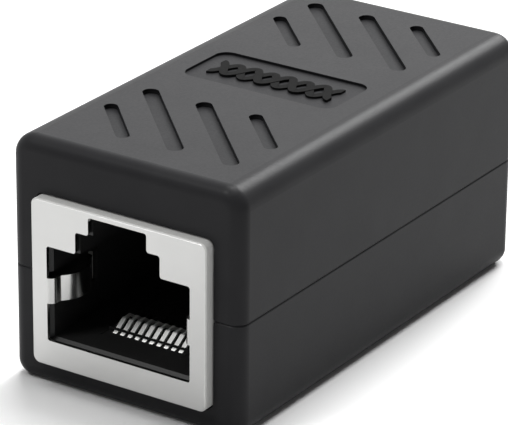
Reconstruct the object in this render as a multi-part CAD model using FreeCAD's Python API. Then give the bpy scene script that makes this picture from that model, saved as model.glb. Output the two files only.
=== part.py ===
"""RJ45 inline coupler: two shielded modular sockets, back to back, in a clamshell housing.

Frame: millimetres, +Z up, origin on the underside below the middle of the body.
The body is long in Y and the front socket opens towards -Y. Everything that belongs to
a socket is modelled once, facing -Y, and turned half a turn about Z for the rear socket.

The model is sized from the inside out. The plug's opening gives the jack housing, the
jack housing gives the shield, and the shield gives the two shells round it. Along Y it
grows from the circuit board in the middle out to the two end faces.
"""
import FreeCAD
import Part
import math
import os

# Plug opening, inside the jack housing
plug_width = 11.7
plug_height = 6.92
key_width = 6.8
key_rise = 1.62
latch_width = 4.62
latch_rise = 1.35
plug_depth = 14.35
mouth_lead_in = 0.25

# Jack housing
jack_side = 1.05
jack_floor = 1.7
jack_back_wall = 1.2
tail_room = 2.35
tail_block_inset = 0.6
tail_pocket_rise = 2.0
peg_diameter = 1.4
peg_length = 0.7
peg_inset = 1.3

# Shield, folded from one sheet
sheet = 0.3
opening_relief = 0.1
opening_corner = 0.2
plate_top_strip = 0.41
plate_proud = 0.76
mouth_setback = 0.15
shield_corner = 0.55
plate_edge = 0.1
tab_width = 1.3
tab_overrun = 0.6
tab_inset = 2.3
tab_stagger = 1.9

# Grounding fingers, cut and bent from the same sheet
finger_width = 1.9
finger_height = 3.65
finger_root = 0.5
finger_straight = 0.8
finger_rise = 1.35
finger_ramp = 1.5
finger_return = 3.0
finger_reach_back = 0.6
finger_bend = 0.35
finger_crest_radius = 2.2
finger_margin = 0.3
finger_pocket = 0.6

# Contacts, each bent from flat strip
contact_count = 10
contact_pitch = 0.615
contact_width = 0.34
contact_thickness = 0.2
contact_tip_width = 0.17
contact_set_back = 2.95
contact_run_height = 0.62
contact_root_rise = 0.865
contact_root_radius = 0.32
contact_slope = 33.0
contact_ramp = 1.25
contact_crest_radius = 0.3
contact_crest_slope = 6.0
contact_crest = 0.6
contact_fall = 34.0
contact_dip = 0.5
contact_foot = 1.5

# Contact carrier
carrier_side = 0.42
carrier_nose = 0.75
carrier_tail = 0.9
slot_clearance = 0.04
slot_end_room = 0.4
rail_width = 0.4
rail_thickness = 0.5
rail_height = 0.45
comb_bar = 0.12
comb_bar_back = 0.24
comb_bar_lift = 0.13
comb_post = 0.3

# Circuit board
board_thickness = 1.6
board_side_gap = 0.3
board_rise = 1.15

# Shells
wall = 1.25
end_wall = 1.5
side_gap = 1.05
under_gap = 0.65
over_gap = 2.72
window_gap = 0.12
seam_height = 8.5
top_edge_radius = 1.65
bottom_edge_radius = 1.25
end_edge_radius = 1.05
seam_groove = 0.1
tongue_rise = 0.6
tongue_width = 0.45
tongue_inset = 0.35
bulkhead_thickness = 0.8
bulkhead_count = 3
ledge_thickness = 0.9
ledge_overlap = 1.0

# Snap hooks between the shells
hook_width = 1.7
hook_thickness = 0.7
hook_gap = 0.1
hook_root = 2.5
hook_rise = 3.6
hook_head = 1.1
hook_catch = 0.3
hook_lead_in = 0.66
hook_board_gap = 0.4

# Recesses in the top face
groove_angle = 46.0
groove_depth = 0.35
long_groove_length = 11.7
long_groove_width = 1.2
long_groove_offset = 2.26
short_groove_length = 6.45
short_groove_width = 1.0
short_groove_offset = 4.7
short_groove_shift = 2.03
groove_row_spacing = 21.5
panel_width = 12.7
panel_length = 5.6
panel_corner = 1.0
panel_depth = 0.2
pattern_shift = 0.25

# General clearance between a piece and the one that it slides into
fit = 0.05

# Largest error in a length when edges are picked by place
same_place = 1e-6

# Levels, from the underside up
shield_bottom = wall + under_gap
jack_bottom = shield_bottom + sheet + fit
cavity_floor = jack_bottom + jack_floor
plug_top = cavity_floor + plug_height
key_top = plug_top + key_rise
latch_top = key_top + latch_rise
shield_top = latch_top + opening_relief + plate_top_strip
jack_top = shield_top - sheet - fit
ceiling = shield_top + over_gap
body_height = ceiling + wall
board_top = shield_top + board_rise
run_level = jack_bottom + contact_run_height
finger_level = cavity_floor + finger_height

# Half widths, from the middle out
plug_half = plug_width / 2
jack_half = plug_half + jack_side
shield_half = jack_half + fit + sheet
inside_half = shield_half + side_gap
body_half = inside_half + wall
row_half = (contact_count - 1) * contact_pitch / 2
carrier_half = row_half + contact_width / 2 + carrier_side
tail_block_half = jack_half - tail_block_inset

# Places along Y for the front socket, from the board out to the face
board_face = -board_thickness / 2
back_wall_rear = board_face - tail_room
cavity_back = back_wall_rear - jack_back_wall
jack_front = cavity_back - plug_depth
plate_back = jack_front - mouth_setback
plate_front = plate_back - sheet
body_front = plate_front + plate_proud
inside_front = body_front + end_wall
shield_rear = back_wall_rear - sheet
contact_front = jack_front + contact_set_back
carrier_front = contact_front - carrier_nose
carrier_rear = board_face - carrier_tail

BACKWARD = FreeCAD.Vector(0, 1, 0)
UP = FreeCAD.Vector(0, 0, 1)


def box(x0, x1, y0, y1, z0, z1):
    """Block between two corners."""
    return Part.makeBox(x1 - x0, y1 - y0, z1 - z0, FreeCAD.Vector(x0, y0, z0))


def mid_box(half, y0, y1, z0, z1):
    """Block that is centred on X."""
    return box(-half, half, y0, y1, z0, z1)


def side_box(x, width, y0, y1, z0, z1):
    """Block of a given width that is centred on a plane of constant X."""
    return box(x - width / 2, x + width / 2, y0, y1, z0, z1)


def rounded_outline(points, radii):
    """Edges of an open polyline whose inner corners are rounded, one radius to a corner.

    A radius of zero leaves its corner sharp.
    """
    edges = []
    start = points[0]
    for before, corner, after, radius in zip(points, points[1:], points[2:], radii):
        if radius == 0:
            edges.append(Part.LineSegment(start, corner).toShape())
            start = corner
            continue
        to_before = (before - corner).normalize()
        to_after = (after - corner).normalize()
        half_angle = to_before.getAngle(to_after) / 2
        reach = radius / math.tan(half_angle)
        begin = corner + to_before * reach
        end = corner + to_after * reach
        bisector = (to_before + to_after).normalize()
        middle = corner + bisector * (radius / math.sin(half_angle) - radius)
        edges.append(Part.LineSegment(start, begin).toShape())
        edges.append(Part.Arc(begin, middle, end).toShape())
        start = end
    edges.append(Part.LineSegment(start, points[-1]).toShape())
    return edges


def rounded_prism(corners, radii, y0, y1):
    """Prism along Y over a closed X-Z outline with rounded corners.

    The outline starts and ends in the middle of its first side, so every corner is rounded.
    """
    ring = [FreeCAD.Vector(x, y0, z) for x, z in corners]
    start = (ring[0] + ring[1]) * 0.5
    points = [start] + ring[1:] + ring[:1] + [start]
    outline = rounded_outline(points, radii[1:] + radii[:1])
    return Part.Face(Part.Wire(outline)).extrude(FreeCAD.Vector(0, y1 - y0, 0))


def rounded_bar(half, z0, z1, low_radius, high_radius, y0, y1):
    """Bar along Y with a rounded rectangular section, centred on X."""
    corners = [(-half, z0), (half, z0), (half, z1), (-half, z1)]
    radii = [low_radius, low_radius, high_radius, high_radius]
    return rounded_prism(corners, radii, y0, y1)


def offset_line(points, normal, distance):
    """Mitred offset of a polyline that lies in the plane across `normal`."""
    steps = [after - before for before, after in zip(points, points[1:])]
    sides = [normal.cross(step).normalize() for step in steps]
    line = []
    for point, before, after in zip(points, sides[:1] + sides, sides + sides[-1:]):
        mitre = (before + after).normalize()
        line.append(point + mitre * (distance / mitre.dot(before)))
    return line


def bent_strip(points, radii, thickness, across):
    """Strip of sheet metal along a bent middle line, with concentric bends.

    `radii` are those of the middle line, or zero for a sharp bend. The side outline is
    extruded by `across`.
    """
    normal = FreeCAD.Vector(across).normalize()
    turns = [
        math.copysign(1, normal.dot((corner - before).cross(after - corner)))
        for before, corner, after in zip(points, points[1:], points[2:])
    ]
    edges = []
    lines = []
    for distance in (thickness / 2, -thickness / 2):
        line = offset_line(points, normal, distance)
        line_radii = [
            radius - turn * distance if radius else 0 for radius, turn in zip(radii, turns)
        ]
        edges += rounded_outline(line, line_radii)
        lines.append(line)
    left, right = lines
    edges.append(Part.LineSegment(left[0], right[0]).toShape())
    edges.append(Part.LineSegment(left[-1], right[-1]).toShape())
    outline = Part.Wire(Part.__sortEdges__(edges))
    return Part.Face(outline).extrude(across)


def turned(shape):
    """Same piece for the rear socket, half a turn about Z."""
    rear = shape.copy()
    rear.rotate(FreeCAD.Vector(0, 0, 0), UP, 180)
    return rear


def both_sides(shape):
    """A feature and its mirror image in the middle plane."""
    return [shape, shape.mirror(FreeCAD.Vector(0, 0, 0), FreeCAD.Vector(1, 0, 0))]


def both_ends(shapes):
    """Features of the front half and the same features of the rear half."""
    return shapes + [turned(shape) for shape in shapes]


def contact_places():
    """X of each contact, from the left as the socket is seen from outside."""
    return [index * contact_pitch - row_half for index in range(contact_count)]


def plug_form(relief, corner, y0, y1):
    """Stepped opening of the socket, widened all round by `relief`, with rounded corners."""
    half = plug_half + relief
    key_half = key_width / 2 + relief
    latch_half = latch_width / 2 + relief
    floor = cavity_floor - relief
    right = [
        (half, floor),
        (half, plug_top + relief),
        (key_half, plug_top + relief),
        (key_half, key_top + relief),
        (latch_half, key_top + relief),
        (latch_half, latch_top + relief),
    ]
    left = [(-x, z) for x, z in reversed(right)]
    corners = left[-1:] + right + left[:-1]
    return rounded_prism(corners, [corner] * len(corners), y0, y1)


def jack_housing():
    """Moulded socket body: stepped cavity in front, carrier pocket below, pegs behind."""
    front_block = mid_box(jack_half, jack_front, back_wall_rear, jack_bottom, jack_top)
    tail_block = mid_box(tail_block_half, back_wall_rear, board_face, jack_bottom, jack_top)
    body = front_block.fuse([tail_block] + jack_pegs())
    body = body.cut(plug_form(0, 0, jack_front, cavity_back))
    body = soften_mouth(body)
    latch_slot = mid_box(latch_width / 2, jack_front, cavity_back, key_top, jack_top)
    pocket_half = carrier_half + rail_width
    tail_pocket = mid_box(
        pocket_half, back_wall_rear, board_face, jack_bottom, cavity_floor + tail_pocket_rise
    )
    carrier_pocket = mid_box(
        carrier_half + fit, carrier_front, board_face, jack_bottom, cavity_floor
    )
    return body.cut([latch_slot, tail_pocket, carrier_pocket] + rail_forms(fit) + finger_pockets())


def soften_mouth(body):
    """Bevel the lead-in along the floor and the two sides of the mouth."""
    lead_in = []
    for edge in body.Edges:
        bounds = edge.BoundBox
        at_front = abs(bounds.YMax - jack_front) < same_place
        inside = bounds.XMax < plug_half + same_place and bounds.XMin > -plug_half - same_place
        low = bounds.ZMin > cavity_floor - same_place and bounds.ZMax < plug_top + same_place
        if at_front and inside and low and bounds.ZMin < plug_top - same_place:
            lead_in.append(edge)
    return body.makeChamfer(mouth_lead_in, lead_in)


def jack_pegs():
    """Locating pegs that enter the board from one side."""
    peg = Part.makeCylinder(
        peg_diameter / 2,
        peg_length,
        FreeCAD.Vector(tail_block_half - peg_inset, board_face, jack_top - peg_inset),
        BACKWARD,
    )
    return both_sides(peg)


def rail_forms(clearance):
    """Rails along both sides of the contact carrier, grown by a clearance for their grooves."""
    base = jack_bottom + rail_height
    rail = box(
        carrier_half - fit,
        carrier_half + rail_width + clearance,
        carrier_front,
        board_face if clearance else carrier_rear,
        base - clearance,
        base + rail_thickness + clearance,
    )
    return both_sides(rail)


def finger_pockets():
    """Hollows in the side walls that take the grounding fingers when a plug goes in."""
    half_height = finger_width / 2 + finger_margin
    end = finger_points()[-1]
    pocket = box(
        plug_half - fit,
        plug_half + finger_pocket,
        jack_front,
        end.y + finger_margin,
        finger_level - half_height,
        finger_level + half_height,
    )
    return both_sides(pocket)


def finger_points():
    """Middle line of the right-hand grounding finger in the X-Y plane, from its root."""
    level = finger_level - finger_width / 2
    plate_middle = plate_back - sheet / 2
    root = plug_half + opening_relief
    hanging = root - finger_root + sheet / 2
    crest = hanging - finger_rise
    crest_y = plate_middle + finger_straight + finger_ramp
    return [
        FreeCAD.Vector(root + sheet, plate_middle, level),
        FreeCAD.Vector(hanging, plate_middle, level),
        FreeCAD.Vector(hanging, plate_middle + finger_straight, level),
        FreeCAD.Vector(crest, crest_y, level),
        FreeCAD.Vector(hanging + finger_reach_back, crest_y + finger_return, level),
    ]


def grounding_fingers():
    """Sprung fingers that bow in from both sides of the opening to touch the plug's shield."""
    radii = [finger_bend, finger_bend, finger_crest_radius]
    finger = bent_strip(finger_points(), radii, sheet, FreeCAD.Vector(0, 0, finger_width))
    return both_sides(finger)


def shield_tabs():
    """Soldering tabs of the top wall, one nearer to the middle, so that both shields fit."""
    outer = shield_half - tab_inset
    tabs = []
    for x in (-outer, outer - tab_stagger):
        tabs.append(
            side_box(
                x,
                tab_width,
                shield_rear - sheet,
                tab_overrun - board_face,
                shield_top - sheet,
                shield_top,
            )
        )
    return tabs


def shield():
    """Folded sheet round the jack housing, with the face plate, fingers and tabs."""
    outside = rounded_bar(
        shield_half, shield_bottom, shield_top, shield_corner, shield_corner, plate_front, shield_rear
    )
    outside = outside.makeChamfer(plate_edge, edges_in_plane(outside, plate_front))
    inside = mid_box(
        shield_half - sheet, plate_back, shield_rear, shield_bottom + sheet, shield_top - sheet
    )
    folded = outside.cut([inside, plug_form(opening_relief, opening_corner, plate_front, plate_back)])
    return folded.fuse(grounding_fingers() + shield_tabs())


def edges_in_plane(shape, y):
    """Edges of a shape that lie in a plane of constant Y."""
    return [
        edge
        for edge in shape.Edges
        if abs(edge.BoundBox.YMin - y) < same_place and abs(edge.BoundBox.YMax - y) < same_place
    ]


def contact_points():
    """Middle line of a contact in the plane X = 0, from its foot on the board to its tip."""
    foot_y = board_face - contact_thickness / 2
    root_y = contact_front + contact_thickness / 2
    root_level = run_level + contact_root_rise
    ramp_y = root_y + contact_ramp
    ramp_level = root_level + contact_ramp * math.tan(math.radians(contact_slope))
    crest_y = ramp_y + contact_crest
    crest_level = ramp_level + contact_crest * math.tan(math.radians(contact_crest_slope))
    tip_level = cavity_floor - contact_dip
    tip_y = crest_y + (crest_level - tip_level) / math.tan(math.radians(contact_fall))
    return [
        FreeCAD.Vector(0, foot_y, run_level + contact_foot),
        FreeCAD.Vector(0, foot_y, run_level),
        FreeCAD.Vector(0, root_y, run_level),
        FreeCAD.Vector(0, root_y, root_level),
        FreeCAD.Vector(0, ramp_y, ramp_level),
        FreeCAD.Vector(0, crest_y, crest_level),
        FreeCAD.Vector(0, tip_y, tip_level),
    ]


def contact(x):
    """One contact: foot on the board, run under the floor, bend at the front, sprung hump."""
    radii = [0, 0, contact_root_radius, contact_crest_radius, 0]
    shift = FreeCAD.Vector(x - contact_width / 2, 0, 0)
    points = [point + shift for point in contact_points()]
    strip = bent_strip(points, radii, contact_thickness, FreeCAD.Vector(contact_width, 0, 0))
    shoulder = points[-3].y
    tip = points[-1]
    spare = (contact_width - contact_tip_width) / 2
    low = tip.z - contact_thickness
    high = cavity_floor + plug_height
    trims = []
    for x0 in (x - contact_width / 2, x + contact_width / 2 - spare):
        trims.append(box(x0, x0 + spare, shoulder, tip.y + contact_thickness, low, high))
    return strip.cut(trims)


def contact_carrier():
    """Slotted block that holds the contacts and forms the middle of the cavity's floor."""
    block = mid_box(carrier_half, carrier_front, carrier_rear, jack_bottom, cavity_floor)
    carrier = block.fuse(rail_forms(0))
    reach = contact_thickness / 2 + slot_clearance
    slot_end = contact_points()[-1].y + slot_end_room
    width = contact_width + 2 * slot_clearance
    openings = []
    for x in contact_places():
        slot = side_box(
            x, width, contact_front - slot_clearance, slot_end, run_level - reach, cavity_floor
        )
        tunnel = side_box(x, width, slot_end, carrier_rear, run_level - reach, run_level + reach)
        openings += [slot, tunnel]
    return carrier.cut(openings).fuse(comb_bar_form())


def comb_bar_form():
    """Low bar over the roots of the contacts, on a post at each end, that keeps them down."""
    y0 = contact_front + comb_bar_back
    y1 = y0 + comb_bar
    bottom = cavity_floor + comb_bar_lift
    bar = mid_box(carrier_half, y0, y1, bottom, bottom + comb_bar)
    post = box(carrier_half - comb_post, carrier_half, y0, y1, cavity_floor, bottom)
    return bar.fuse(both_sides(post))


def circuit_board():
    """Upright board between the sockets, with peg holes and slots for the shields' tabs."""
    board_half = inside_half - board_side_gap
    board = mid_box(board_half, board_face, -board_face, wall, board_top)
    holes = []
    for peg in jack_pegs():
        centre = peg.BoundBox.Center
        holes.append(
            Part.makeCylinder(
                peg_diameter / 2 + fit,
                board_thickness,
                FreeCAD.Vector(centre.x, board_face, centre.z),
                BACKWARD,
            )
        )
    for tab in both_ends(shield_tabs()):
        holes.append(
            side_box(
                tab.BoundBox.Center.x,
                tab_width + 2 * fit,
                board_face,
                -board_face,
                shield_top - sheet - fit,
                shield_top + fit,
            )
        )
    return board.cut(holes)


def body_form():
    """Outside of the closed housing: a rounded section along Y with softened ends."""
    body = rounded_bar(
        body_half, 0, body_height, bottom_edge_radius, top_edge_radius, body_front, -body_front
    )
    rims = edges_in_plane(body, body_front) + edges_in_plane(body, -body_front)
    return body.makeFillet(end_edge_radius, rims)


def closed_shell():
    """Whole housing before it is parted, hollow and open at both ends for the shields."""
    hollow = mid_box(inside_half, inside_front, -inside_front, wall, ceiling)
    window = rounded_bar(
        shield_half + window_gap,
        shield_bottom - window_gap,
        shield_top + window_gap,
        shield_corner + window_gap,
        shield_corner + window_gap,
        body_front,
        -body_front,
    )
    return body_form().cut([hollow, window]).fuse(both_ends(bulkheads()))


def bulkheads():
    """Inner frames that carry the front shield, evenly spaced along it."""
    frames = []
    last = shield_rear - bulkhead_thickness
    step = (last - inside_front) / bulkhead_count
    for index in range(1, bulkhead_count + 1):
        y0 = inside_front + index * step
        y1 = y0 + bulkhead_thickness
        frame = mid_box(inside_half + fit, y0, y1, wall - fit, ceiling + fit)
        seat = mid_box(shield_half + fit, y0, y1, shield_bottom, shield_top + fit)
        frames.append(frame.cut(seat))
    return frames


def board_ledges(z0, z1):
    """Pair of ribs across the housing that hold the board between them."""
    near = board_face - fit
    ledge = mid_box(inside_half + fit, near - ledge_thickness, near, z0, z1)
    return both_ends([ledge])


def side_tongues(clearance):
    """Tongues along both side walls, grown by a clearance for their grooves."""
    x0 = inside_half + tongue_inset
    tongue = box(
        x0 - clearance,
        x0 + tongue_width + clearance,
        inside_front - clearance,
        -inside_front + clearance,
        seam_height,
        seam_height + tongue_rise + clearance,
    )
    return both_sides(tongue)


def snap_hooks():
    """Four sprung hooks of the lower shell, beside the board."""
    outer = inside_half - hook_gap
    inner = outer - hook_thickness
    y1 = board_face - hook_board_gap
    y0 = y1 - hook_width
    top = seam_height + hook_rise
    outline = [
        (inner, seam_height - hook_root),
        (inside_half + fit, seam_height - hook_root),
        (inside_half + fit, seam_height),
        (outer, seam_height),
        (outer, top - hook_head),
        (outer + hook_gap + hook_catch, top - hook_head),
        (outer + hook_gap + hook_catch, top - hook_lead_in),
        (outer, top),
        (inner, top),
    ]
    points = [FreeCAD.Vector(x, y0, z) for x, z in outline]
    face = Part.Face(Part.makePolygon(points + points[:1]))
    return both_ends(both_sides(face.extrude(FreeCAD.Vector(0, y1 - y0, 0))))


def hook_pockets():
    """Catches for the hooks in the side walls of the upper shell."""
    y1 = board_face - hook_board_gap + fit
    y0 = y1 - hook_width - 2 * fit
    top = seam_height + hook_rise
    pocket = box(
        inside_half - fit,
        inside_half + hook_catch + fit,
        y0,
        y1,
        top - hook_head - fit,
        top + fit,
    )
    return both_ends(both_sides(pocket))


def seam_edges(shell):
    """Outer edges of a shell in the seam plane."""
    found = []
    for edge in shell.Edges:
        bounds = edge.BoundBox
        flat = abs(bounds.ZMin - seam_height) < same_place and abs(bounds.ZMax - seam_height) < same_place
        at_side = max(abs(bounds.XMin), abs(bounds.XMax)) > body_half - same_place
        at_end = max(abs(bounds.YMin), abs(bounds.YMax)) > -body_front - same_place
        if flat and (at_side or at_end):
            found.append(edge)
    return found


def lower_shell(closed):
    """Tray with tongues, hooks and the lower board ledges."""
    below = mid_box(body_half + wall, body_front - wall, wall - body_front, -wall, seam_height)
    tray = closed.common(below)
    tray = tray.makeChamfer(seam_groove, seam_edges(tray))
    ledges = board_ledges(wall - fit, jack_bottom - fit)
    return tray.fuse(ledges + side_tongues(0) + snap_hooks())


def upper_shell(closed):
    """Cover with grooves for the tongues, catches, board ledges and the recessed pattern."""
    top = body_height + wall
    above = mid_box(body_half + wall, body_front - wall, wall - body_front, seam_height, top)
    cover = closed.common(above)
    cover = cover.makeChamfer(seam_groove, seam_edges(cover))
    cover = cover.fuse(board_ledges(board_top - ledge_overlap, ceiling + fit))
    return cover.cut(side_tongues(fit) + hook_pockets() + top_recesses())


def groove(length, width, x, y):
    """Slanting round-ended recess in the top face, about its middle."""
    half = length / 2 - width / 2
    radius = width / 2
    z = body_height - groove_depth
    corners = [
        FreeCAD.Vector(-half, -radius, z),
        FreeCAD.Vector(half, -radius, z),
        FreeCAD.Vector(half, radius, z),
        FreeCAD.Vector(-half, radius, z),
    ]
    outline = [
        Part.LineSegment(corners[0], corners[1]).toShape(),
        Part.Arc(corners[1], FreeCAD.Vector(half + radius, 0, z), corners[2]).toShape(),
        Part.LineSegment(corners[2], corners[3]).toShape(),
        Part.Arc(corners[3], FreeCAD.Vector(-half - radius, 0, z), corners[0]).toShape(),
    ]
    recess = Part.Face(Part.Wire(outline)).extrude(UP * groove_depth)
    recess.rotate(FreeCAD.Vector(0, 0, 0), UP, -groove_angle)
    recess.translate(FreeCAD.Vector(x, y + pattern_shift, 0))
    return recess


def top_recesses():
    """Two rows of slanting grooves and the label panel between them."""
    recesses = [label_panel()]
    for row in (-groove_row_spacing / 2, groove_row_spacing / 2):
        for way in (1, -1):
            recesses.append(
                groove(long_groove_length, long_groove_width, -way * long_groove_offset, row)
            )
            recesses.append(
                groove(
                    short_groove_length,
                    short_groove_width,
                    -way * short_groove_offset,
                    row - way * short_groove_shift,
                )
            )
    return recesses


def label_panel():
    """Rounded rectangular recess across the middle of the top face."""
    half_width = panel_width / 2
    half_length = panel_length / 2
    recess = mid_box(
        half_width,
        pattern_shift - half_length,
        pattern_shift + half_length,
        body_height - panel_depth,
        body_height,
    )
    upright = [edge for edge in recess.Edges if edge.BoundBox.ZLength > panel_depth / 2]
    return recess.makeFillet(panel_corner, upright)


def build_nodes():
    """Every separate piece of the coupler, by name."""
    closed = closed_shell()
    front = {
        "jack_housing": jack_housing(),
        "shield": shield(),
        "contact_carrier": contact_carrier(),
    }
    for number, x in enumerate(contact_places(), start=1):
        front[f"contact_{number:02d}"] = contact(x)
    nodes = {
        "lower_shell": lower_shell(closed),
        "upper_shell": upper_shell(closed),
        "circuit_board": circuit_board(),
    }
    for name, shape in front.items():
        nodes[f"front_{name}"] = shape
        nodes[f"rear_{name}"] = turned(shape)
    return nodes


os.makedirs("parts", exist_ok=True)
for node_name, node_shape in build_nodes().items():
    node_shape.removeSplitter().exportStep(f"parts/{node_name}.step")
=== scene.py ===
"""Looks of the RJ45 inline coupler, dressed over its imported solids. Lengths are in metres."""
import logging
import math
from dataclasses import dataclass, field
from enum import Enum

import bmesh
import bpy
from mathutils import Matrix, Vector


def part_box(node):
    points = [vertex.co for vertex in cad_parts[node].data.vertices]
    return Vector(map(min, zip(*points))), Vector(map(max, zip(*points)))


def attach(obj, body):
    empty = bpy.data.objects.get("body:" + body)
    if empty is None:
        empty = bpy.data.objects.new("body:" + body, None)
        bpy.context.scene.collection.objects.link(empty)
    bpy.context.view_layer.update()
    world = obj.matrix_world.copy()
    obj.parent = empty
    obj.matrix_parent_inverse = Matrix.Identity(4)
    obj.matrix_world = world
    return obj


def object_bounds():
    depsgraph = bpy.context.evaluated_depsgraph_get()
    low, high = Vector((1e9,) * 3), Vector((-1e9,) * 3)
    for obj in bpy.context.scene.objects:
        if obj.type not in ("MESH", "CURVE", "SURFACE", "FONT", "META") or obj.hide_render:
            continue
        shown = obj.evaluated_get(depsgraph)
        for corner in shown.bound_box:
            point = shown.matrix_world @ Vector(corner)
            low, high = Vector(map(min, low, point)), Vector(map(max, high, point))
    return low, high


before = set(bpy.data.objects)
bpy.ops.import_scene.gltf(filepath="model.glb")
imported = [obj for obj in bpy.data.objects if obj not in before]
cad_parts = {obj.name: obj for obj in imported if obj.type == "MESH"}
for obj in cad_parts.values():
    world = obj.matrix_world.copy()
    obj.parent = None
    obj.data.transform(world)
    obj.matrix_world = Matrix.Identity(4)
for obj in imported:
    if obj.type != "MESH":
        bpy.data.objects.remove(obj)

CAD_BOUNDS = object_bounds()
LOG = logging.getLogger("coupler")
MM = 0.001

Colour = tuple[float, float, float]
Corner = tuple[float, float, float]


class End(Enum):
    """The two ends of the coupler, with the prefix of their nodes' names."""

    FRONT = "front"
    REAR = "rear"


class Pattern(Enum):
    """Coordinates that a finish's texture runs in."""

    EVEN = (1.0, 1.0, 1.0)
    ROLLED_UPRIGHT = (1.0, 1.0, 0.06)
    ROLLED_LENGTHWISE = (1.0, 0.06, 1.0)


@dataclass(frozen=True)
class Patch:
    """A box of an object's coordinates in which a finish has its own roughness."""

    low: Corner
    high: Corner
    roughness: float


class Graph:
    """A material's node tree, with short calls to add nodes and join them."""

    ROUGHNESS_SWING = 0.04
    NOISE_ROUGHNESS = 0.55
    NOISE_LOW = 0.3
    NOISE_HIGH = 0.7
    CLOUD_DETAIL = 2.0

    def __init__(self, name: str) -> None:
        """Start an empty material.

        Args:
            name: name of the material.
        """
        self.material = bpy.data.materials.new(name)
        self.material.use_nodes = True
        self.tree = self.material.node_tree
        self.tree.nodes.clear()

    def add(self, kind: str, **values: object) -> bpy.types.Node:
        """Add a node and set its properties and its unlinked inputs.

        Args:
            kind: node type without its "ShaderNode" prefix.
            values: property or input names, with underscores for spaces.

        Returns:
            The new node.
        """
        node = self.tree.nodes.new(f"ShaderNode{kind}")
        for key, value in values.items():
            if hasattr(node, key) and key not in node.inputs:
                setattr(node, key, value)
            else:
                node.inputs[key.replace("_", " ")].default_value = value
        return node

    def join(self, start: bpy.types.NodeSocket, end: bpy.types.NodeSocket) -> None:
        """Link an output socket to an input socket."""
        self.tree.links.new(start, end)

    def noise(
        self, size: float, detail: float, pattern: Pattern = Pattern.EVEN
    ) -> bpy.types.NodeSocket:
        """Add noise over the object's own coordinates.

        Args:
            size: width of one feature in metres.
            detail: number of finer octaves.
            pattern: which way the features are drawn out.

        Returns:
            The noise's value output.
        """
        place = self.add("TexCoord")
        stretch = self.add("Mapping")
        stretch.inputs["Scale"].default_value = pattern.value
        texture = self.add(
            "TexNoise", Scale=1.0 / size, Detail=detail, Roughness=self.NOISE_ROUGHNESS
        )
        self.join(place.outputs["Object"], stretch.inputs["Vector"])
        self.join(stretch.outputs["Vector"], texture.inputs["Vector"])
        return texture.outputs["Fac"]

    def spread(
        self, value: bpy.types.NodeSocket, low: float, high: float
    ) -> bpy.types.NodeSocket:
        """Map a noise value from its usual span to a span of numbers.

        Args:
            value: the noise output.
            low: result at the noise's low side.
            high: result at the noise's high side.

        Returns:
            The mapped output.
        """
        span = self.add(
            "MapRange", From_Min=self.NOISE_LOW, From_Max=self.NOISE_HIGH, To_Min=low, To_Max=high
        )
        self.join(value, span.inputs["Value"])
        return span.outputs["Result"]

    def within(self, low: Corner, high: Corner) -> bpy.types.NodeSocket:
        """Add a mask that is 1 inside a box of the object's own coordinates.

        Args:
            low: the box's lowest corner in metres.
            high: the box's highest corner in metres.

        Returns:
            The mask's output.
        """
        place = self.add("TexCoord")
        axes = self.add("SeparateXYZ")
        self.join(place.outputs["Object"], axes.inputs["Vector"])
        mask = None
        for axis, start, stop in zip("XYZ", low, high):
            for operation, edge in (("GREATER_THAN", start), ("LESS_THAN", stop)):
                test = self.add("Math", operation=operation)
                self.join(axes.outputs[axis], test.inputs[0])
                test.inputs[1].default_value = edge
                if mask is None:
                    mask = test.outputs["Value"]
                    continue
                both = self.add("Math", operation="MULTIPLY")
                self.join(mask, both.inputs[0])
                self.join(test.outputs["Value"], both.inputs[1])
                mask = both.outputs["Value"]
        return mask

    def roughness(
        self, grain: bpy.types.NodeSocket, level: float, patches: tuple[Patch, ...]
    ) -> bpy.types.NodeSocket:
        """Let a surface's roughness follow its grain, with other levels inside some boxes.

        Args:
            grain: the noise output.
            level: roughness outside the boxes.
            patches: the boxes with their own roughness, which don't overlap.

        Returns:
            The roughness output.
        """
        value = self.spread(grain, level - self.ROUGHNESS_SWING, level + self.ROUGHNESS_SWING)
        for patch in patches:
            shifted = self.add("Math", operation="MULTIPLY_ADD")
            self.join(self.within(patch.low, patch.high), shifted.inputs[0])
            shifted.inputs[1].default_value = patch.roughness - level
            self.join(value, shifted.inputs[2])
            value = shifted.outputs["Value"]
        return value

    def mottle(self, shader: bpy.types.Node, dark: Colour, light: Colour, cloud: float) -> None:
        """Colour a shader in soft clouds between two colours.

        Args:
            shader: the shader node.
            dark: colour of the darker clouds.
            light: colour of the lighter clouds.
            cloud: width of one cloud in metres.
        """
        clouds = self.spread(self.noise(cloud, self.CLOUD_DETAIL), 0.0, 1.0)
        self.blend(shader, dark, light, clouds)

    def blend(
        self, shader: bpy.types.Node, first: Colour, second: Colour, factor: bpy.types.NodeSocket
    ) -> None:
        """Colour a shader between two colours.

        Args:
            shader: the shader node.
            first: colour where the factor is 0.
            second: colour where the factor is 1.
            factor: the blend's factor.
        """
        colour = self.add("Mix", data_type="RGBA")
        colour.inputs["A"].default_value = (*first, 1.0)
        colour.inputs["B"].default_value = (*second, 1.0)
        self.join(factor, colour.inputs["Factor"])
        self.join(colour.outputs["Result"], shader.inputs["Base Color"])

    def relief(
        self,
        shader: bpy.types.Node,
        height: bpy.types.NodeSocket,
        strength: float,
        distance: float,
    ) -> None:
        """Give a shader a fine bump.

        Args:
            shader: the shader node.
            height: the bump's height output.
            strength: how strongly it shows, from 0 to 1.
            distance: height of the bump in metres.
        """
        bump = self.add("Bump", Strength=strength, Distance=distance)
        self.join(height, bump.inputs["Height"])
        self.join(bump.outputs["Normal"], shader.inputs["Normal"])

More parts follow.
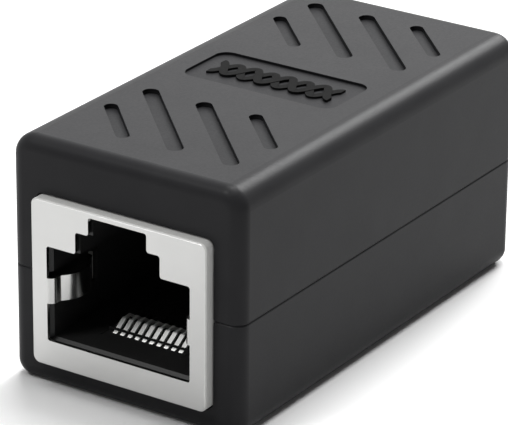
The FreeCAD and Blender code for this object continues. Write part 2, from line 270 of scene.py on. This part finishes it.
    def finish(self, shader: bpy.types.NodeSocket) -> bpy.types.Material:
        """Join a shader to the material's output.

        Args:
            shader: the shader's output.

        Returns:
            The finished material.
        """
        output = self.add("OutputMaterial")
        self.join(shader, output.inputs["Surface"])
        return self.material


@dataclass(frozen=True)
class MouldedPlastic:
    """Moulded plastic with a fine spark-eroded grain."""

    name: str
    dark: Colour
    light: Colour
    roughness: float
    specular: float
    grain: float = 0.16 * MM
    grain_detail: float = 3.0
    grain_height: float = 0.004 * MM
    grain_strength: float = 0.6
    cloud: float = 4.0 * MM
    patches: tuple[Patch, ...] = ()

    def material(self) -> bpy.types.Material:
        """Build the finish.

        Returns:
            The material.
        """
        graph = Graph(self.name)
        shader = graph.add("BsdfPrincipled")
        shader.inputs["Specular IOR Level"].default_value = self.specular
        grain = graph.noise(self.grain, self.grain_detail)
        graph.mottle(shader, self.dark, self.light, self.cloud)
        roughness = graph.roughness(grain, self.roughness, self.patches)
        graph.join(roughness, shader.inputs["Roughness"])
        graph.relief(shader, grain, self.grain_strength, self.grain_height)
        return graph.finish(shader.outputs["BSDF"])


@dataclass(frozen=True)
class PlatedMetal:
    """Plated sheet or strip with faint rolling lines and a soft lustre."""

    name: str
    colour: Colour
    roughness: float
    pattern: Pattern
    tarnish: float = 0.97
    line: float = 0.05 * MM
    line_detail: float = 4.0
    line_height: float = 0.0008 * MM
    line_strength: float = 0.5
    cloud: float = 2.5 * MM
    patches: tuple[Patch, ...] = ()

    def material(self) -> bpy.types.Material:
        """Build the finish.

        Returns:
            The material.
        """
        graph = Graph(self.name)
        shader = graph.add("BsdfPrincipled", Metallic=1.0)
        lines = graph.noise(self.line, self.line_detail, self.pattern)
        red, green, blue = (self.tarnish * part for part in self.colour)
        graph.mottle(shader, (red, green, blue), self.colour, self.cloud)
        roughness = graph.roughness(lines, self.roughness, self.patches)
        graph.join(roughness, shader.inputs["Roughness"])
        graph.relief(shader, lines, self.line_strength, self.line_height)
        return graph.finish(shader.outputs["BSDF"])


@dataclass(frozen=True)
class SolderMask:
    """Green solder mask, with tracks showing through as a lighter green.

    A band of the wave texture repeats every pi / (band_rate x scale).
    """

    name: str
    mask: Colour
    track: Colour
    roughness: float = 0.28
    track_pitch: float = 0.62 * MM
    track_start: float = 0.55
    track_full: float = 0.65
    track_height: float = 0.02 * MM
    track_strength: float = 0.4
    band_rate: float = 10.0

    def material(self) -> bpy.types.Material:
        """Build the finish.

        Returns:
            The material.
        """
        graph = Graph(self.name)
        shader = graph.add("BsdfPrincipled", Roughness=self.roughness)
        place = graph.add("TexCoord")
        scale = math.pi / (self.band_rate * self.track_pitch)
        tracks = graph.add("TexWave", Scale=scale, Distortion=0.0)
        edges = graph.add("MapRange", From_Min=self.track_start, From_Max=self.track_full)
        graph.join(place.outputs["Object"], tracks.inputs["Vector"])
        graph.join(tracks.outputs["Fac"], edges.inputs["Value"])
        graph.blend(shader, self.mask, self.track, edges.outputs["Result"])
        graph.relief(shader, edges.outputs["Result"], self.track_strength, self.track_height)
        return graph.finish(shader.outputs["BSDF"])


def dress(node: str, material: bpy.types.Material) -> None:
    """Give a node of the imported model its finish.

    Args:
        node: name of the node.
        material: the finish.
    """
    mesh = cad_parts[node].data
    mesh.materials.clear()
    mesh.materials.append(material)


def keep_piece(
    name: str, form: bmesh.types.BMesh, material: bpy.types.Material
) -> bpy.types.Object:
    """Turn a finished bmesh into a piece that rides on the coupler.

    Args:
        name: name of the piece.
        form: its shape, which is freed here.
        material: its finish.

    Returns:
        The piece.
    """
    bmesh.ops.recalc_face_normals(form, faces=form.faces)
    mesh = bpy.data.meshes.new(name)
    form.to_mesh(mesh)
    form.free()
    mesh.materials.append(material)
    piece = bpy.data.objects.new(name, mesh)
    bpy.context.scene.collection.objects.link(piece)
    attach(piece, "root")
    LOG.info("%s: %d faces", name, len(mesh.polygons))
    return piece


@dataclass
class Housing:
    """The two black shells and the raised motif in the label panel, whose darker colour is
    painted shade.
    """

    plastic: MouldedPlastic
    shaded_motif_plastic: MouldedPlastic
    panel_depth: float = 0.2 * MM
    pattern_shift: float = 0.25 * MM
    motif_length: float = 10.2 * MM
    motif_swing: float = 0.95 * MM
    motif_waves: float = 3.5
    strand_width: float = 0.6 * MM
    strand_lap: float = 0.05 * MM
    strand_seat: float = 0.02 * MM
    steps: int = 140
    material: bpy.types.Material = field(init=False)
    shaded_motif_material: bpy.types.Material = field(init=False)

    def __post_init__(self) -> None:
        """Make each finish once for all pieces."""
        self.material = self.plastic.material()
        # The motif's finish is darker than the shells' plastic: painted shade standing in for the
        # shade on its strands' walls.
        self.shaded_motif_material = self.shaded_motif_plastic.material()

    def build(self) -> None:
        """Dress both shells and lay the two strands of the motif."""
        for node in ("lower_shell", "upper_shell"):
            dress(node, self.material)
            LOG.info("%s dressed", node)
        self.strand("motif_strand_over", 1.0, self.strand_seat / 2)
        self.strand("motif_strand_under", -1.0, self.strand_lap)

    def strand(self, name: str, way: float, drop: float) -> bpy.types.Object:
        """Model one strand of the twisted-pair motif as a raised ridge.

        Args:
            name: name of the piece.
            way: 1 or -1, which of the two opposite waves it follows.
            drop: how far its top lies below the housing's top.

        Returns:
            The strand.
        """
        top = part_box("upper_shell")[1].z
        rate = self.motif_waves * 2.0 * math.pi / self.motif_length
        form = bmesh.new()
        bmesh.ops.create_grid(form, x_segments=self.steps, y_segments=1, size=0.5)
        bmesh.ops.scale(form, vec=(self.motif_length, self.strand_width, 1.0), verts=form.verts)
        for vertex in form.verts:
            turn = vertex.co.x * rate
            lean = math.atan(way * self.motif_swing * rate * math.cos(turn))
            side = vertex.co.y
            vertex.co.x -= side * math.sin(lean)
            vertex.co.y = way * self.motif_swing * math.sin(turn) + side * math.cos(lean)
        seat = top - self.panel_depth - self.strand_seat
        bmesh.ops.translate(form, vec=(0.0, self.pattern_shift, seat), verts=form.verts)
        raised = bmesh.ops.extrude_face_region(form, geom=form.faces[:])
        lifted = [item for item in raised["geom"] if isinstance(item, bmesh.types.BMVert)]
        bmesh.ops.translate(form, vec=(0.0, 0.0, top - drop - seat), verts=lifted)
        return keep_piece(name, form, self.shaded_motif_material)


@dataclass
class Socket:
    """Shield, jack housing, contact carrier and contacts of one end."""

    end: End
    insert: bpy.types.Material
    sheet: bpy.types.Material
    strip: bpy.types.Material
    contact_count: int = 10

    def build(self) -> None:
        """Dress each piece of the socket."""
        prefix = self.end.value
        dress(f"{prefix}_shield", self.sheet)
        for part in ("jack_housing", "contact_carrier"):
            dress(f"{prefix}_{part}", self.insert)
        for number in range(1, self.contact_count + 1):
            dress(f"{prefix}_contact_{number:02d}", self.strip)
        LOG.info("%s socket dressed", prefix)


@dataclass(frozen=True)
class SoftBox:
    """A soft square lamp that faces the middle of the coupler: size in metres, power in watts."""

    name: str
    place: Corner
    size: float
    power: float

    def hang(self) -> None:
        """Hang the lamp."""
        data = bpy.data.lights.new(self.name, "AREA")
        data.shape = "SQUARE"
        data.size = self.size
        data.energy = self.power
        lamp = bpy.data.objects.new(self.name, data)
        bpy.context.scene.collection.objects.link(lamp)
        middle = (CAD_BOUNDS[0] + CAD_BOUNDS[1]) / 2
        lamp.location = self.place
        lamp.rotation_euler = (Vector(self.place) - middle).to_track_quat("Z", "Y").to_euler()


@dataclass(frozen=True)
class Studio:
    """White sweep, soft lamps and the camera. Angles are in degrees."""

    azimuth: float = 33.26
    elevation: float = 23.29
    roll: float = 0.56
    eye: Corner = (126.5 * MM, -195.23 * MM, 108.27 * MM)
    lens: float = 249.15
    clip_start: float = 0.01
    clip_end: float = 10.0
    floor_size: float = 3.0
    floor_colour: float = 0.8
    floor_seen_lift: float = 0.02
    world_fill: float = 0.04
    world_seen: float = 1.0
    lamps: tuple[SoftBox, ...] = (
        SoftBox("key", (-0.075, 0.17, 0.57), size=0.2, power=1.75),
        SoftBox("sheen", (-0.27, 0.65, 0.37), size=0.6, power=0.95),
        SoftBox("overhead", (0.0, 0.0, 0.6), size=0.5, power=1.5),
        SoftBox("front", (-0.13, -0.24, 0.38), size=0.1, power=0.52),
        SoftBox("rim", (0.03, 0.46, 0.39), size=0.26, power=2.9),
    )

    def build(self) -> None:
        """Set up the view, the floor, the world and the lamps."""
        bpy.context.scene.view_settings.view_transform = "Standard"
        self.camera()
        self.floor()
        self.world()
        for lamp in self.lamps:
            lamp.hang()

    def camera(self) -> None:
        """Place the camera."""
        data = bpy.data.cameras.new("camera")
        data.lens = self.lens
        data.clip_start = self.clip_start
        data.clip_end = self.clip_end
        camera = bpy.data.objects.new("camera", data)
        bpy.context.scene.collection.objects.link(camera)
        turn, rise = math.radians(self.azimuth), math.radians(self.elevation)
        back = Vector(
            (math.sin(turn) * math.cos(rise), -math.cos(turn) * math.cos(rise), math.sin(rise))
        )
        facing = back.to_track_quat("Z", "Y").to_matrix().to_4x4()
        tilt = Matrix.Rotation(math.radians(self.roll), 4, "Z")
        camera.matrix_world = Matrix.Translation(self.eye) @ facing @ tilt
        bpy.context.scene.camera = camera

    def floor(self) -> None:
        """Lay a wide white floor that keeps the object's shadow."""
        graph = Graph("white_floor")
        path = graph.add("LightPath")
        plain = graph.add("BsdfDiffuse", Color=(self.floor_colour,) * 3 + (1.0,))
        seen = graph.add("BsdfDiffuse", Color=(1.0, 1.0, 1.0, 1.0))
        lift = graph.add("Emission", Strength=self.floor_seen_lift)
        lifted = graph.add("AddShader")
        mixed = graph.add("MixShader")
        graph.join(seen.outputs["BSDF"], lifted.inputs[0])
        graph.join(lift.outputs["Emission"], lifted.inputs[1])
        graph.join(path.outputs["Is Camera Ray"], mixed.inputs["Fac"])
        graph.join(plain.outputs["BSDF"], mixed.inputs[1])
        graph.join(lifted.outputs["Shader"], mixed.inputs[2])
        form = bmesh.new()
        bmesh.ops.create_grid(form, x_segments=1, y_segments=1, size=self.floor_size)
        mesh = bpy.data.meshes.new("floor")
        form.to_mesh(mesh)
        form.free()
        mesh.materials.append(graph.finish(mixed.outputs["Shader"]))
        floor = bpy.data.objects.new("floor", mesh)
        bpy.context.scene.collection.objects.link(floor)

    def world(self) -> None:
        """Make a white surround that is plain white to the camera and in reflections."""
        world = bpy.data.worlds.new("studio")
        bpy.context.scene.world = world
        world.use_nodes = True
        nodes, links = world.node_tree.nodes, world.node_tree.links
        nodes.clear()
        path = nodes.new("ShaderNodeLightPath")
        either = nodes.new("ShaderNodeMath")
        either.operation = "MAXIMUM"
        strength = nodes.new("ShaderNodeMapRange")
        strength.inputs["To Min"].default_value = self.world_fill
        strength.inputs["To Max"].default_value = self.world_seen
        background = nodes.new("ShaderNodeBackground")
        output = nodes.new("ShaderNodeOutputWorld")
        links.new(path.outputs["Is Camera Ray"], either.inputs[0])
        links.new(path.outputs["Is Glossy Ray"], either.inputs[1])
        links.new(either.outputs[0], strength.inputs["Value"])
        links.new(strength.outputs["Result"], background.inputs["Strength"])
        links.new(background.outputs["Background"], output.inputs["Surface"])


def plated_sheet(end: End) -> PlatedMetal:
    """Describe one shield's sheet: dull on cut edges, brighter on the plate's face and inside.

    Args:
        end: the end that the shield belongs to.

    Returns:
        The finish.
    """
    low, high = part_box(f"{end.value}_shield")
    skin, reach, rim = 0.02 * MM, 5.0 * MM, 0.7 * MM
    outer, inward = (low.y, 1.0) if end is End.FRONT else (high.y, -1.0)
    face = sorted((outer - inward * skin, outer + inward * skin))
    mouth = sorted((outer + inward * skin, outer + inward * reach))
    plate_face = Patch((low.x, face[0], low.z), (high.x, face[1], high.z), roughness=0.32)
    inside = Patch(
        (low.x + rim, mouth[0], low.z + rim),
        (high.x - rim, mouth[1], high.z - rim),
        roughness=0.2,
    )
    return PlatedMetal(
        name=f"nickel_sheet_{end.value}",
        colour=(0.61, 0.61, 0.6),
        roughness=0.85,
        pattern=Pattern.ROLLED_UPRIGHT,
        patches=(plate_face, inside),
    )


def moulded_housing() -> MouldedPlastic:
    """Describe the housing's plastic: matt on recess floors, smooth on recess walls.

    Returns:
        The finish.
    """
    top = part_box("upper_shell")[1].z
    side, length, deep = 7.5 * MM, 16.0 * MM, 1.0 * MM
    floor, lip = top - 0.18 * MM, top - 0.03 * MM
    recess_floors = Patch((-side, -length, top - deep), (side, length, floor), roughness=0.5)
    recess_walls = Patch((-side, -length, floor), (side, length, lip), roughness=0.08)
    return MouldedPlastic(
        name="black_abs",
        dark=(0.018, 0.018, 0.0195),
        light=(0.022, 0.022, 0.0235),
        roughness=0.38,
        specular=0.1,
        patches=(recess_floors, recess_walls),
    )


def main() -> None:
    """Build the coupler's looks and the studio round it."""
    logging.basicConfig(level=logging.INFO, format="%(name)s: %(message)s")
    insert = MouldedPlastic(
        name="black_insert",
        dark=(0.014, 0.014, 0.014),
        light=(0.018, 0.018, 0.018),
        roughness=0.35,
        specular=0.3,
    ).material()
    # Painted shade: the motif's colour is darker than the housing's plastic, standing in for the
    # shade that falls on its raised strands' walls.
    motif = MouldedPlastic(
        name="motif_painted_shade",
        dark=(0.01, 0.01, 0.01),
        light=(0.012, 0.012, 0.012),
        roughness=0.75,
        specular=0.04,
    )
    strip = PlatedMetal(
        name="bright_strip",
        colour=(0.95, 0.95, 0.93),
        roughness=0.5,
        pattern=Pattern.ROLLED_LENGTHWISE,
    ).material()
    mask = SolderMask(name="solder_mask", mask=(0.01, 0.09, 0.03), track=(0.02, 0.16, 0.05))
    Housing(moulded_housing(), motif).build()
    dress("circuit_board", mask.material())
    LOG.info("circuit_board dressed")
    for end in End:
        Socket(end, insert, plated_sheet(end).material(), strip).build()
    Studio().build()


if __name__ == "__main__":
    main()
